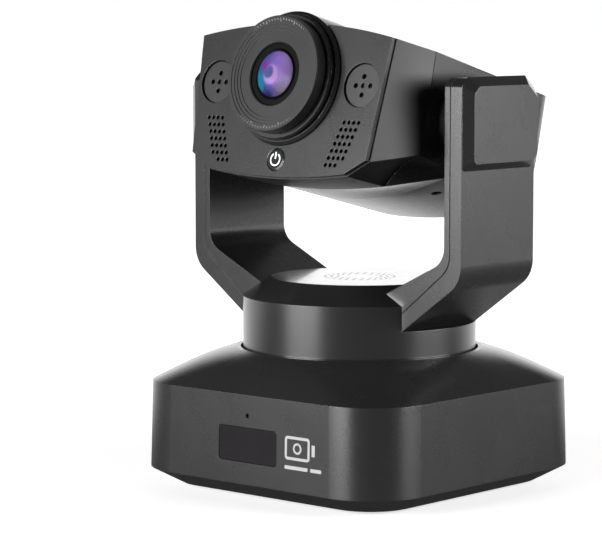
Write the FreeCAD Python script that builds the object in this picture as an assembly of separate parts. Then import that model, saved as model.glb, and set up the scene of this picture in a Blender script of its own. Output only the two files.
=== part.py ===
"""Desktop pan-tilt-zoom camera, as an assembly of separate pieces.

A rounded square base carries a turntable drum. Two cranked arms rise from the drum and hold the
camera head between them. The drum pans about Z. The head tilts about an X axis through the tops of
the arms. A power button on the head's face plate travels along the head's own axis.

Frame: +Z up, +X to the right of a viewer who faces the lens, -Y towards that viewer. The origin is
the centre of the footprint, on the surface that the feet stand on. Millimetres throughout.
Head pieces are drawn level about the tilt axis, as u (= X), v (back) and s (up), and are then
tilted up by TILT_REST and lifted to TILT_Z.
"""
import FreeCAD
import Part
import math
import os

from FreeCAD import Vector

# ---- driving dimensions -------------------------------------------------------------------
BASE_HALF = 67.5          # half the width of the base at its widest
BASE_CORNER = 25.0        # plan radius of the base's corners
BASE_TOP_HALF = 66.8      # the side walls lean in by this much at their top
FOOT_H = 1.5              # rubber feet under the tray
TRAY_Z = 7.6              # joint between tray and housing
TRAY_INSET = 11.0         # how far the tray's rim slopes in at its bottom
SHOULDER_Z = 43.0         # top edge of the side walls
DOME_TOP_Z = 56.3         # top of the domed cover, round the drum
WALL = 2.4                # base wall

DRUM_R = 47.4             # turntable drum
DRUM_GAP = 1.0            # clear ring between the drum and the base's hole
DRUM_BOTTOM_Z = 53.5
DRUM_SHOULDER_Z = 77.1
DRUM_TOP_R = 36.1
DRUM_TOP_Z = 84.5
DRUM_WALL = 2.2

ARM_IN_X = 62.3           # inner face of an arm
ARM_THICK = 8.2
ARM_HALF_DEPTH = 23.0
ARM_TOP_Z = 166.6
ARM_COVER = 2.5           # thickness of the inner cover, which sets the seam
ARM_BEND_IN_Z = 95.9      # where the inner face turns in towards the drum
ARM_BEND_OUT_Z = 88.2
ARM_FOOT_X = 30.0         # where an arm ends, inside the drum
ARM_FOOT_IN_Z = 79.9
ARM_FOOT_OUT_Z = 59.0
SEAM_FOOT_SHARE = 0.7     # the cover takes this share of an arm's depth where the arm ends
LEDGE_Z = 67.2            # flat ledge in the drum's side, under an arm's root
SEAM_W = 0.35             # open joint line between an arm's shell and cover

PAD_OUT = 4.0             # how far a pad stands out of its arm
PAD_LOW_Z = 131.0
PAD_HALF = 22.8

TILT_Z = 149.0            # height of the tilt axis
TILT_REST = 13.5          # the head looks up by this angle at rest, in degrees

PLATE_V = -45.7           # front of the face plate, from the tilt axis
PLATE_T = 2.2
SEAM_V = -21.5            # joint between front and rear shells
REAR_V = 60.6
REAR_LEAN = 14.0          # how far the rear wall leans in from its top to its bottom
HEAD_WALL = 2.0
LENS_S = 6.2              # height of the lens axis above the tilt axis
COLLAR_R = 26.7
COLLAR_BACK_V = -29.0
BUTTON_S = -26.2
BUTTON_R = 4.1
BUTTON_TRAVEL = 0.8
MIC_U = 37.8
MIC_S = 4.3
MIC_R = 8.4
MIC_SUNK = 1.0

SPINDLE_R = 9.0
RUN_CLEAR = 0.05          # radial clearance of a running fit
TRUNNION_R = 8.0
PAN_MODULE = 0.8
PAN_TEETH = 75
PAN_PINION_TEETH = 15
TILT_MODULE = 0.8
TILT_TEETH = 45
TILT_PINION_TEETH = 15
PRESSURE_ANGLE = math.radians(20)
BACKLASH = 0.16           # at the pitch circle, shared by both flanks

X = Vector(1, 0, 0)
Y = Vector(0, 1, 0)
Z = Vector(0, 0, 1)
ORIGIN = Vector(0, 0, 0)


# ---- drawing helpers ----------------------------------------------------------------------
def box(x0, x1, y0, y1, z0, z1):
    return Part.makeBox(x1 - x0, y1 - y0, z1 - z0, Vector(x0, y0, z0))


def rod(radius, start, length, axis=Z):
    return Part.makeCylinder(radius, length, Vector(*start), axis)


def tube(outer, inner, start, length, axis=Z):
    return rod(outer, start, length, axis).cut(rod(inner, start, length, axis))


def fuse(shapes):
    shapes = list(shapes)
    return shapes[0].multiFuse(shapes[1:]).removeSplitter() if len(shapes) > 1 else shapes[0]


def cut(shape, tools):
    tools = list(tools)
    return shape.cut(Part.makeCompound(tools)) if tools else shape


def group(shapes):
    return Part.makeCompound(list(shapes))


def on_xy(z):
    return lambda a, b: Vector(a, b, z)


def on_xz(y):
    return lambda a, b: Vector(a, y, b)


def on_yz(x):
    return lambda a, b: Vector(x, a, b)


def ring_wire(corners, place):
    """A closed wire through corners (a, b) or (a, b, radius), each radius rounding its corner."""
    flat = [(c[0], c[1], c[2] if len(c) > 2 else 0.0) for c in corners]
    spans = []
    for i, (a, b, radius) in enumerate(flat):
        here = Vector(a, b, 0)
        if radius <= 0:
            spans.append((here, None, here))
            continue
        before = Vector(*flat[i - 1][:2], 0) - here
        after = Vector(*flat[(i + 1) % len(flat)][:2], 0) - here
        before.normalize()
        after.normalize()
        half = before.getAngle(after) / 2
        reach = radius / math.tan(half)
        middle = before + after
        middle.normalize()
        centre = here + middle * (radius / math.sin(half))
        spans.append((here + before * reach, centre - middle * radius, here + after * reach))
    edges = []
    for i, (_, _, leave) in enumerate(spans):
        enter, bulge, out = spans[(i + 1) % len(spans)]
        if leave.distanceToPoint(enter) > 1e-6:
            edges.append(Part.LineSegment(place(leave.x, leave.y), place(enter.x, enter.y)).toShape())
        if bulge is not None:
            arc = [place(p.x, p.y) for p in (enter, bulge, out)]
            edges.append(Part.Arc(*arc).toShape())
    return Part.Wire(Part.__sortEdges__(edges))


def prism(corners, place, along):
    return Part.Face(ring_wire(corners, place)).extrude(along)


def turned(profile, axis_point=ORIGIN, axis=Y):
    """A solid of revolution about Y from a closed profile of (radius, v) points."""
    points = [Vector(r, v, 0) for r, v in profile]
    points.append(points[0])
    shape = Part.Face(Part.makePolygon(points)).revolve(ORIGIN, Y, 360)
    shape.translate(axis_point)
    return shape


def mirror_x(shape):
    return shape.mirror(ORIGIN, X)


def both_sides(shape):
    return group([shape, mirror_x(shape)])


def tilted(shape):
    """Takes a head piece from its level drawing to its place on the arms."""
    placed = shape.copy()
    placed.rotate(ORIGIN, X, -TILT_REST)
    placed.translate(Vector(0, 0, TILT_Z))
    return placed


def screw(head_r, shank_r, length, place, axis):
    """A pan-head screw with a cross recess. place is under the head, and axis points out of it."""
    head_h = head_r * 0.7
    head = Part.makeCylinder(head_r, head_h, ORIGIN, Z)
    head = head.makeFillet(head_r * 0.35, [e for e in head.Edges if e.BoundBox.ZMin > head_h - 0.01])
    arm = head_r * 0.62
    slot = head_r * 0.14
    bars = [box(-arm, arm, -slot, slot, head_h * 0.45, head_h + 1),
            box(-slot, slot, -arm, arm, head_h * 0.45, head_h + 1)]
    body = cut(fuse([head, rod(shank_r, (0, 0, -length), length)]), bars)
    body.Placement = FreeCAD.Placement(Vector(*place), FreeCAD.Rotation(Z, axis))
    return body


def involute(angle):
    return math.tan(angle) - angle


def gear(teeth, module, width, bore, tooth_at=0.0, addendum=0.8, dedendum=1.1):
    """A spur gear about Z with one tooth centred on the direction tooth_at, in radians."""
    pitch_r = teeth * module / 2
    base_r = pitch_r * math.cos(PRESSURE_ANGLE)
    tip_r = pitch_r + addendum * module
    root_r = pitch_r - dedendum * module
    half_at_pitch = math.pi / (2 * teeth) - BACKLASH / 4 / pitch_r

    def half_angle(r):
        lean = math.acos(min(1.0, base_r / max(r, base_r)))
        return half_at_pitch + involute(PRESSURE_ANGLE) - involute(lean)

    radii = [root_r, max(root_r + 0.05, base_r), pitch_r, tip_r]
    points = []
    for tooth in range(teeth):
        centre = tooth_at + 2 * math.pi * tooth / teeth
        flank = [(r, half_angle(r)) for r in radii]
        sides = [(r, centre - h) for r, h in flank] + [(r, centre + h) for r, h in reversed(flank)]
        points += [Vector(r * math.cos(a), r * math.sin(a), 0) for r, a in sides]
    points.append(points[0])
    blank = Part.Face(Part.makePolygon(points)).extrude(Z * width)
    return blank.cut(rod(bore, (0, 0, -1), width + 2))


# ---- base ---------------------------------------------------------------------------------
def soft_square(half, corner, diagonal, z):
    """A four-centred square with eight arcs: half is to the middle of a side, and diagonal to
    the middle of a corner. Straight sides are drawn as lines."""
    c = (diagonal - corner) / math.sqrt(2)
    reach = half - corner
    if reach - c < 1e-4:                       # straight sides
        start = (half, reach)
        bulge = None
    else:                                      # bowed sides, tangent to the corner arcs
        back = (2 * c * c - reach * reach) / (2 * (reach - c))
        turn = math.atan2(c, c + back)
        side_r = back + half
        start = (side_r * math.cos(turn) - back, side_r * math.sin(turn))
        bulge = (half, 0)
    middle = (diagonal / math.sqrt(2), diagonal / math.sqrt(2))
    edges = []
    for quarter in range(4):
        cos_q = round(math.cos(quarter * math.pi / 2))
        sin_q = round(math.sin(quarter * math.pi / 2))

        def spot(p):
            return Vector(p[0] * cos_q - p[1] * sin_q, p[0] * sin_q + p[1] * cos_q, z)

        low = spot((start[0], -start[1]))
        high = spot(start)
        next_low = spot((start[1], start[0]))
        side = Part.LineSegment(low, high) if bulge is None else Part.Arc(low, spot(bulge), high)
        edges += [side.toShape(), Part.Arc(high, spot(middle), next_low).toShape()]
    return Part.Wire(edges)


def rounded_square(half, corner, z):
    return soft_square(half, corner, (half - corner) * math.sqrt(2) + corner, z)


def round_section(radius, z):
    """The dome's last section: a circle cut into the same eight arcs as the others."""
    edges = []
    split = math.radians(24)
    for quarter in range(4):
        turn = quarter * math.pi / 2
        for a0, a1 in ((-split, split), (split, math.pi / 2 - split)):
            spots = [Vector(radius * math.cos(turn + a), radius * math.sin(turn + a), z)
                     for a in (a0, (a0 + a1) / 2, a1)]
            edges.append(Part.Arc(*spots).toShape())
    return Part.Wire(edges)


def dome(inset, drop):
    """The domed top between the square shoulder and the round hole, as a solid."""
    rim_r = DRUM_R + DRUM_GAP + 1.6
    half0 = BASE_TOP_HALF - inset
    corner0 = BASE_CORNER - inset
    diagonal0 = (half0 - corner0) * math.sqrt(2) + corner0
    rise = DOME_TOP_Z - SHOULDER_Z
    sections = [rounded_square(half0, corner0, SHOULDER_Z - drop)]
    for t in (0.3, 0.65):
        z = SHOULDER_Z - drop + rise * (1 - (1 - t) ** 1.3)
        half = half0 + (rim_r - half0) * t
        diagonal = diagonal0 + (rim_r - diagonal0) * t
        corner = corner0 + (rim_r - corner0) * t * 0.7
        sections.append(soft_square(half, corner, diagonal, z))
    sections.append(round_section(rim_r, DOME_TOP_Z - drop))
    return Part.makeLoft(sections, True, False)


def straight_loft(low, high):
    return Part.makeLoft([low, high], True, True)


LIGHT_R = 0.95
JACK_X = -20.0            # power jack, on the back
USB_X = 12.0
USB_WIDE = 9.4
USB_TALL = 3.6
PORT_Z = 17.0
PANEL_Y = 64.4            # outside of the port panel


def base_housing():
    outer = straight_loft(rounded_square(BASE_HALF, BASE_CORNER, TRAY_Z),
                          rounded_square(BASE_TOP_HALF, BASE_CORNER, SHOULDER_Z))
    inner = straight_loft(rounded_square(BASE_HALF - WALL, BASE_CORNER - WALL, TRAY_Z),
                          rounded_square(BASE_TOP_HALF - WALL, BASE_CORNER - WALL, SHOULDER_Z))
    hollow_top = dome(WALL, WALL)
    hollow_top = fuse([hollow_top, box(-40, 40, -40, 40, SHOULDER_Z - WALL, SHOULDER_Z)])
    shell = fuse([outer, dome(0.0, 0.0)]).cut(inner).cut(hollow_top)
    hole = rod(DRUM_R + DRUM_GAP, (0, 0, SHOULDER_Z - 10), 30)
    window = prism([(-15.4, 16.3, 1.5), (15.4, 16.3, 1.5), (15.4, 30.2, 1.5), (-15.4, 30.2, 1.5)],
                   on_xz(-70), Y * 8)
    light = rod(LIGHT_R + 0.05, (0, -70, 34.8), 8, Y)
    frame = box(-36.5, 36.5, PANEL_Y, 65.6, 8.2, 27.5)
    panel = prism([(-34, 10.2, 2), (34, 10.2, 2), (34, 24.6, 2), (-34, 24.6, 2)], on_xz(PANEL_Y - 2), Y * 8)
    return cut(fuse([shell, frame]), [hole, window, light, panel])


def base_tray():
    floor_z = FOOT_H - 0.3
    thick = 2.6
    outer = straight_loft(rounded_square(BASE_HALF - TRAY_INSET, 18.0, floor_z),
                          rounded_square(BASE_HALF, BASE_CORNER, TRAY_Z))
    inner = straight_loft(rounded_square(BASE_HALF - TRAY_INSET - 1.2, 16.8, floor_z + thick),
                          rounded_square(BASE_HALF - WALL, BASE_CORNER - WALL, TRAY_Z))
    tray = outer.cut(inner)
    posts = [rod(3.0, (x, y, floor_z), 8.8) for x in (-36, 36) for y in (-30, 30)]
    pillars = [rod(4.5, (x, y, floor_z), 5.0) for x in (-LEG, LEG) for y in (-LEG, LEG)]
    boss = rod(9.0, (0, 0, floor_z), BOARD_Z - 0.3 - floor_z)
    tray = fuse([tray, boss] + posts + pillars)
    screw_holes = [rod(1.7, (x, y, 0), 12) for x in (-LEG, LEG) for y in (-LEG, LEG)]
    screw_wells = [rod(3.6, (x, y, 0), 3.2) for x in (-LEG, LEG) for y in (-LEG, LEG)]
    foot_wells = [rod(7.1, (x, y, 0), FOOT_H + 0.5) for x, y in FEET]
    insert_hole = rod(5.0, (0, 0, 0), INSERT_TOP_Z)
    vents = [prism([(-16, y - 1, 0.9), (16, y - 1, 0.9), (16, y + 1, 0.9), (-16, y + 1, 0.9)],
                   on_xy(0), Z * 6) for y in (20, 26, 32, -20, -26, -32)]
    board_holes = [rod(1.0, (x, y, 5.0), 6) for x in (-36, 36) for y in (-30, 30)]
    return cut(tray, screw_holes + screw_wells + foot_wells + [insert_hole] + vents + board_holes)


LEG = 44.0                # the chassis legs stand at (+-LEG, +-LEG)
FEET = [(x, y) for x in (-42.5, 42.5) for y in (-25.0, 25.0)]
BOARD_Z = 10.0
INSERT_TOP_Z = 9.0
BOARD_T = 1.6
CHASSIS_Z = 38.0
CHASSIS_T = 2.0
GEAR_Z = 43.5
GEAR_W = 5.0
PAN_CENTRES = (PAN_TEETH + PAN_PINION_TEETH) * PAN_MODULE / 2


def rubber_feet():
    return group([rod(7.0, (x, y, 0), FOOT_H + 0.5) for x, y in FEET])


def tripod_insert():
    """Brass insert. Its bore is drawn at the tapping radius of a 1/4 inch thread."""
    return tube(5.0, 2.6, (0, 0, FOOT_H - 0.3), INSERT_TOP_Z - FOOT_H + 0.3)


def ir_window():
    return prism([(-15.3, 16.4, 1.4), (15.3, 16.4, 1.4), (15.3, 30.1, 1.4), (-15.3, 30.1, 1.4)],
                 on_xz(-67.0), Y * 1.8)


def status_light_pipe():
    return rod(LIGHT_R, (0, -66.0, 34.8), 3.95, Y)


def main_board():
    board = prism([(-44, -38, 3), (44, -38, 3), (44, 38, 3), (-44, 38, 3)], on_xy(BOARD_Z), Z * BOARD_T)
    board = fuse([board, box(-34, 34, 37, 56, BOARD_Z, BOARD_Z + BOARD_T)])
    chips = [box(-12, 6, -16, 2, BOARD_Z + BOARD_T, BOARD_Z + BOARD_T + 1.4),
             box(14, 26, -8, 4, BOARD_Z + BOARD_T, BOARD_Z + BOARD_T + 1.2),
             box(-30, -20, 8, 18, BOARD_Z + BOARD_T, BOARD_Z + BOARD_T + 2.5)]
    holes = [rod(1.3, (x, y, BOARD_Z - 1), 4) for x in (-36, 36) for y in (-30, 30)]
    return cut(fuse([board] + chips), holes + [rod(5.5, (0, 0, BOARD_Z - 1), 4)])


def board_screws():
    return group([screw(2.2, 0.95, 4.5, (x, y, BOARD_Z + BOARD_T), Z) for x in (-36, 36) for y in (-30, 30)])


def ir_receiver():
    """Infrared eye and its daughter board, close behind the window."""
    board = box(-12, 12, -61.0, -60.0, 14.0, 34.5)
    eye = fuse([box(-3, 3, -63.0, -61.0, 20, 27), rod(2.4, (0, -63.8, 23.5), 1.0, Y)])
    lamp = box(-1.5, 1.5, -62.0, -61.0, 33.4, 34.5)
    return fuse([board, eye, lamp])


def port_panel():
    panel = prism([(-35.5, 9.0, 1.5), (35.5, 9.0, 1.5), (35.5, 26.5, 1.5), (-35.5, 26.5, 1.5)],
                  on_xz(PANEL_Y - 1.6), Y * 1.6)
    jack_hole = rod(3.1, (JACK_X, PANEL_Y - 3, PORT_Z), 5, Y)
    return cut(panel, [jack_hole, port_shape(USB_WIDE + 0.3, USB_TALL + 0.3, PANEL_Y - 3, 5)])


def port_shape(wide, tall, y, deep):
    """The USB port's rounded outline, run backwards from y."""
    r = tall / 2 - 0.05
    low = PORT_Z - tall / 2
    high = PORT_Z + tall / 2
    left = USB_X - wide / 2
    right = USB_X + wide / 2
    return prism([(left, low, r), (right, low, r), (right, high, r), (left, high, r)], on_xz(y), Y * deep)


def dc_jack():
    body = box(JACK_X - 4, JACK_X + 4, 51, PANEL_Y - 1.6, BOARD_Z + BOARD_T, PORT_Z + 4)
    nose = rod(3.0, (JACK_X, PANEL_Y - 2, PORT_Z), 1.9, Y)
    bore = rod(1.75, (JACK_X, 54, PORT_Z), 12, Y)
    pin = rod(0.65, (JACK_X, 53.5, PORT_Z), 8.5, Y)
    return fuse([fuse([body, nose]).cut(bore), pin])


def usb_port():
    shell = port_shape(USB_WIDE, USB_TALL, 56, PANEL_Y - 56)
    shell = shell.cut(port_shape(USB_WIDE - 1.0, USB_TALL - 1.0, 57.5, 10))
    foot = box(USB_X - 4, USB_X + 4, 55, 56, BOARD_Z + BOARD_T, PORT_Z + 1.5)
    return fuse([shell, foot, box(USB_X - 3, USB_X + 3, 57, 62.5, PORT_Z - 0.35, PORT_Z + 0.35)])


def pan_chassis():
    plate = prism([(-48, -48, 10), (48, -48, 10), (48, 48, 10), (-48, 48, 10)],
                  on_xy(CHASSIS_Z), Z * CHASSIS_T)
    legs = [rod(3.5, (x, y, 6.2), CHASSIS_Z - 6.2) for x in (-LEG, LEG) for y in (-LEG, LEG)]
    hub = rod(15.0, (0, 0, 26.0), CHASSIS_Z - 26.0)
    whole = fuse([plate, hub] + legs)
    bush_seat = rod(12.0, (0, 0, 20), 30)
    leg_holes = [rod(1.3, (x, y, 6.0), 12) for x in (-LEG, LEG) for y in (-LEG, LEG)]
    shaft_way = rod(4.5, (0, PAN_CENTRES, CHASSIS_Z - 1), 5)
    motor_holes = [rod(1.6, (x, PAN_CENTRES, CHASSIS_Z - 1), 5) for x in (-17.5, 17.5)]
    windows = [prism([(x - 9, -32, 4), (x + 9, -32, 4), (x + 9, -20, 4), (x - 9, -20, 4)],
                     on_xy(CHASSIS_Z - 1), Z * 5) for x in (-24, 24)]
    return cut(whole, [bush_seat, shaft_way] + leg_holes + motor_holes + windows)


def tray_screws():
    return group([screw(3.0, 1.25, 10.0, (x, y, 3.2), Z * -1) for x in (-LEG, LEG) for y in (-LEG, LEG)])


def pan_bush():
    return fuse([tube(12.0, SPINDLE_R + RUN_CLEAR, (0, 0, 26.0), 14.0),
                 tube(13.5, SPINDLE_R + RUN_CLEAR, (0, 0, 40.0), 1.5)])


def pan_motor():
    can = rod(14.0, (0, PAN_CENTRES, 19.0), 18.0)
    ears = prism([(-21, PAN_CENTRES - 3.5, 3.4), (21, PAN_CENTRES - 3.5, 3.4), (21, PAN_CENTRES + 3.5, 3.4),
                  (-21, PAN_CENTRES + 3.5, 3.4)], on_xy(37.0), Z * 1.0)
    holes = [rod(1.6, (x, PAN_CENTRES, 36), 4) for x in (-17.5, 17.5)]
    plug = box(-7, 7, PAN_CENTRES + 13, PAN_CENTRES + 18, 20, 30)
    return cut(fuse([can, ears, plug]), holes + [rod(2.6, (0, PAN_CENTRES, 30), 12)])


def pan_motor_screws():
    return group([screw(2.6, 1.4, 4.5, (x, PAN_CENTRES, CHASSIS_Z + CHASSIS_T), Z) for x in (-17.5, 17.5)])


def pan_motor_shaft():
    return rod(2.5, (0, PAN_CENTRES, 31.0), GEAR_Z + GEAR_W - 31.0)


def pan_pinion():
    shape = gear(PAN_PINION_TEETH, PAN_MODULE, GEAR_W, 2.5, -math.pi / 2 + math.pi / PAN_PINION_TEETH)
    shape.translate(Vector(0, PAN_CENTRES, GEAR_Z))
    return shape


# ---- turntable and arms -------------------------------------------------------------------
def pan_gear():
    shape = gear(PAN_TEETH, PAN_MODULE, GEAR_W - 1.0, SPINDLE_R, math.pi / 2)
    shape.translate(Vector(0, 0, GEAR_Z + 0.5))
    windows = [rod(5.5, (19.5 * math.cos(a), 19.5 * math.sin(a), GEAR_Z), 8)
               for a in [math.radians(30 + 60 * i) for i in range(6)]]
    hub = tube(12.5, SPINDLE_R, (0, 0, GEAR_Z + GEAR_W - 0.5), DRUM_BOTTOM_Z - 2 - GEAR_Z - GEAR_W + 0.5)
    return fuse([cut(shape, windows), hub])


def pan_spindle():
    flange = rod(20.0, (0, 0, DRUM_BOTTOM_Z - 2.0), 2.0)
    stem = rod(SPINDLE_R, (0, 0, 22.5), DRUM_BOTTOM_Z - 22.5)
    groove = tube(SPINDLE_R + 1, SPINDLE_R - 0.8, (0, 0, 24.2), 1.2)
    holes = [rod(1.3, (15 * math.cos(a), 15 * math.sin(a), 50), 5)
             for a in [math.radians(45 + 90 * i) for i in range(4)]]
    return cut(fuse([flange, stem]), [rod(6.0, (0, 0, 20), 40), groove] + holes)


def spindle_clip():
    ring = tube(SPINDLE_R + 2.0, SPINDLE_R - 0.8, (0, 0, 24.3), 1.0)
    return ring.cut(box(-3.0, 3.0, 0, 14, 24, 26))


def turntable_floor():
    disc = rod(DRUM_R - DRUM_WALL, (0, 0, DRUM_BOTTOM_Z), 2.5)
    holes = [rod(1.5, (15 * math.cos(a), 15 * math.sin(a), 50), 8)
             for a in [math.radians(45 + 90 * i) for i in range(4)]]
    return cut(disc, holes + [rod(6.0, (0, 0, 50), 10)])


def floor_screws():
    return group([screw(2.6, 1.25, 4.2, (15 * math.cos(a), 15 * math.sin(a), DRUM_BOTTOM_Z + 2.5), Z)
                  for a in [math.radians(45 + 90 * i) for i in range(4)]])


COVER_SHARE = ARM_COVER / ARM_THICK


def arm_line(share):
    """Corners of a line that follows the right arm, from its inner face (0) to its outer (1)."""
    x = ARM_IN_X + ARM_THICK * share
    bend = ARM_BEND_IN_Z + (ARM_BEND_OUT_Z - ARM_BEND_IN_Z) * share
    if share < COVER_SHARE:
        deep = share * SEAM_FOOT_SHARE / COVER_SHARE
    else:
        deep = 1 - (1 - share) * (1 - SEAM_FOOT_SHARE) / (1 - COVER_SHARE)
    foot = ARM_FOOT_IN_Z + (ARM_FOOT_OUT_Z - ARM_FOOT_IN_Z) * deep
    return [(x, ARM_TOP_Z), (x, bend, 9.0 + 3.0 * share), (ARM_FOOT_X, foot)]


def arm_band(share0, share1, half_depth, top=ARM_TOP_Z):
    """A strip that follows the arm between two lines, half_depth each way along Y."""
    inner = arm_line(share0)
    outer = arm_line(share1)
    inner[0] = (inner[0][0], top)
    outer[0] = (outer[0][0], top)
    return prism(inner + outer[::-1], on_xz(-half_depth), Y * (2 * half_depth))


def arm_side_shape(inset=0.0):
    """What the arm looks like from the side, with clipped top corners, inset all round."""
    d = ARM_HALF_DEPTH - inset
    top = ARM_TOP_Z - inset
    corners = [(-d, 50), (d, 50), (d, top - 5, 1.5), (d - 6, top, 1.5),
               (4.0 - d, top, 1.5), (-d, top - 3, 1.5)]
    return prism(corners, on_yz(0), X * 90)


def arm_cover():
    """Inner cover of the right arm, with the boss that faces the head."""
    band = arm_band(0.0, COVER_SHARE, ARM_HALF_DEPTH).common(arm_side_shape())
    boss = tube(14.0, TRUNNION_R + 0.2, (57.6, 0, TILT_Z), ARM_IN_X - 57.6, X)
    hole = rod(TRUNNION_R + 0.2, (50, 0, TILT_Z), 30, X)
    screw_holes = [rod(1.2, (60, y, z), 5, X) for y, z in ARM_SCREWS]
    wells = [rod(2.6, (60, y, z), ARM_IN_X + 1.2 - 60, X) for y, z in ARM_SCREWS]
    return cut(fuse([band, boss]), [hole] + screw_holes + wells)


ARM_SCREWS = [(-15.0, 128.0), (15.0, 128.0), (-15.0, 159.5), (15.0, 159.5)]


def arm_shell():
    """Outer shell of the right arm: a channel that the inner cover closes."""
    solid = arm_band(COVER_SHARE, 1.0, ARM_HALF_DEPTH).common(arm_side_shape())
    hollow = arm_band(COVER_SHARE, 0.78, ARM_HALF_DEPTH - 1.8).common(arm_side_shape(1.8))
    posts = [rod(2.4, (64.6, y, z), 5.2, X).cut(rod(0.9, (64.0, y, z), 4.5, X)) for y, z in ARM_SCREWS]
    seam = arm_band(COVER_SHARE, COVER_SHARE + SEAM_W / ARM_THICK, ARM_HALF_DEPTH + 1)
    groove = seam.cut(arm_band(0.0, 1.0, ARM_HALF_DEPTH - SEAM_W))
    posts = [p.common(arm_band(COVER_SHARE, 1.0, ARM_HALF_DEPTH)) for p in posts]
    return fuse([solid.cut(hollow).cut(groove)] + posts)


def arm_screws():
    side = [screw(1.9, 0.85, 4.0, (ARM_IN_X + 1.2, y, z), X * -1) for y, z in ARM_SCREWS]
    return group(side + [mirror_x(s) for s in side])


def pad_outline(inset, x):
    """The pad's eight-sided outline, inset all round, at a given X."""
    half = PAD_HALF - inset
    low = PAD_LOW_Z + inset
    top = ARM_TOP_Z + 0.4 - inset * 1.25
    corners = [(-half, low + 1.2), (-half + 1.2, low), (half - 2.5, low), (half, low + 3.0),
               (half, top - 5.0), (half - 6.0, top), (3.4 - half, top), (-half, top - 3.0)]
    points = [Vector(x, y, z) for y, z in corners]
    return Part.makePolygon(points + [points[0]])


def arm_pad():
    """Raised cap on the outside of the right arm, over the trunnion's nut."""
    start = ARM_IN_X + ARM_THICK
    outer = Part.makeLoft([pad_outline(0.0, start), pad_outline(2.8, start + PAD_OUT)], True, True)
    inner = Part.makeLoft([pad_outline(2.4, start), pad_outline(4.4, start + PAD_OUT - 1.6)], True, True)
    return outer.cut(inner)


def turntable_drum():
    r, t = DRUM_R, DRUM_WALL
    outer = [(0, DRUM_BOTTOM_Z), (r, DRUM_BOTTOM_Z), (r, DRUM_SHOULDER_Z),
             (DRUM_TOP_R, DRUM_TOP_Z), (0, DRUM_TOP_Z)]
    inner = [(0, DRUM_BOTTOM_Z), (r - t, DRUM_BOTTOM_Z), (r - t, DRUM_SHOULDER_Z - 1),
             (DRUM_TOP_R - 2.6, DRUM_TOP_Z - 3.2), (DRUM_TOP_R - 2.6, DRUM_TOP_Z - 1.5),
             (DRUM_TOP_R - 0.6, DRUM_TOP_Z - 1.5),
             (DRUM_TOP_R - 0.6, DRUM_TOP_Z + 1), (0, DRUM_TOP_Z + 1)]
    shell = spun(outer).cut(spun(inner))
    room = arm_band(0.0, 1.0, ARM_HALF_DEPTH)
    slope = (ARM_BEND_OUT_Z - ARM_FOOT_OUT_Z) / (ARM_IN_X + ARM_THICK - ARM_FOOT_X)
    ledge_x = ARM_FOOT_X + (LEDGE_Z - ARM_FOOT_OUT_Z) / slope
    over = [(ledge_x, LEDGE_Z), (60, LEDGE_Z), (60, LEDGE_Z + slope * (60 - ledge_x))]
    notch = prism(over, on_xz(-ARM_HALF_DEPTH), Y * (2 * ARM_HALF_DEPTH))
    ledge = box(ledge_x + 0.05, r, -ARM_HALF_DEPTH - 1.5, ARM_HALF_DEPTH + 1.5, LEDGE_Z - 1.8, LEDGE_Z)
    ledge = ledge.common(rod(r - 1.0, (0, 0, LEDGE_Z - 5), 10))
    whole = fuse([shell, ledge, mirror_x(ledge)])
    return cut(whole, [room, mirror_x(room), notch, mirror_x(notch)])


def spun(profile):
    """A solid of revolution about Z from (radius, z) points."""
    points = [Vector(r, 0, z) for r, z in profile]
    return Part.Face(Part.makePolygon(points + [points[0]])).revolve(ORIGIN, Z, 360)


def turntable_top():
    disc = rod(DRUM_TOP_R - 0.7, (0, 0, DRUM_TOP_Z - 1.5), 1.5)
    holes = []
    for ring_r, count in ((9.0, 18), (11.6, 24), (14.2, 30)):
        for i in range(count):
            a = 2 * math.pi * i / count
            holes.append(rod(0.55, (ring_r * math.cos(a), ring_r * math.sin(a), DRUM_TOP_Z - 2), 3))
    return cut(disc, holes)


def yoke_frame():
    """Steel strap from one arm's top, down across the turntable's floor and up the other."""
    half = 12.0
    strap = arm_band(0.45, 0.58, half, 160.0)
    foot_z = DRUM_BOTTOM_Z + 2.5
    t = 1.2
    drop_top = arm_line(0.45)[2][1]
    drop = box(ARM_FOOT_X - t, ARM_FOOT_X, -half, half, foot_z, drop_top)
    side = fuse([strap, drop])
    floor = box(-ARM_FOOT_X, ARM_FOOT_X, -half, half, foot_z, foot_z + t)
    holes = [rod(3.2, (15 * math.cos(a), 15 * math.sin(a), foot_z - 1), 4)
             for a in [math.radians(45 + 90 * i) for i in range(4)]]
    axle = rod(TRUNNION_R + 0.02, (-90, 0, TILT_Z), 180, X)
    return cut(fuse([side, mirror_x(side), floor]), holes + [axle, rod(7.0, (0, 0, foot_z - 1), 4)])


def trunnion(inner_end):
    """Hollow shaft, fixed to the right arm's strap, that the head turns on."""
    strap_out = ARM_IN_X + ARM_THICK * 0.58
    shaft = rod(TRUNNION_R, (inner_end, 0, TILT_Z), strap_out - inner_end, X)
    flange = rod(12.0, (strap_out, 0, TILT_Z), 1.4, X)
    return cut(fuse([shaft, flange]), [rod(5.0, (inner_end - 1, 0, TILT_Z), 40, X)])


# ---- head ---------------------------------------------------------------------------------
def bowed(spot, start, end, bow):
    """An arc between two (u, s) points whose middle is moved by bow towards the head's axis."""
    middle = Vector((start[0] + end[0]) / 2, (start[1] + end[1]) / 2, 0)
    across = Vector(end[1] - start[1], start[0] - end[0], 0)
    across.normalize()
    if across.dot(middle) > 0:
        across = across * -1
    middle = middle + across * bow
    return Part.Arc(spot(*start), spot(middle.x, middle.y), spot(*end)).toShape()


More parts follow.
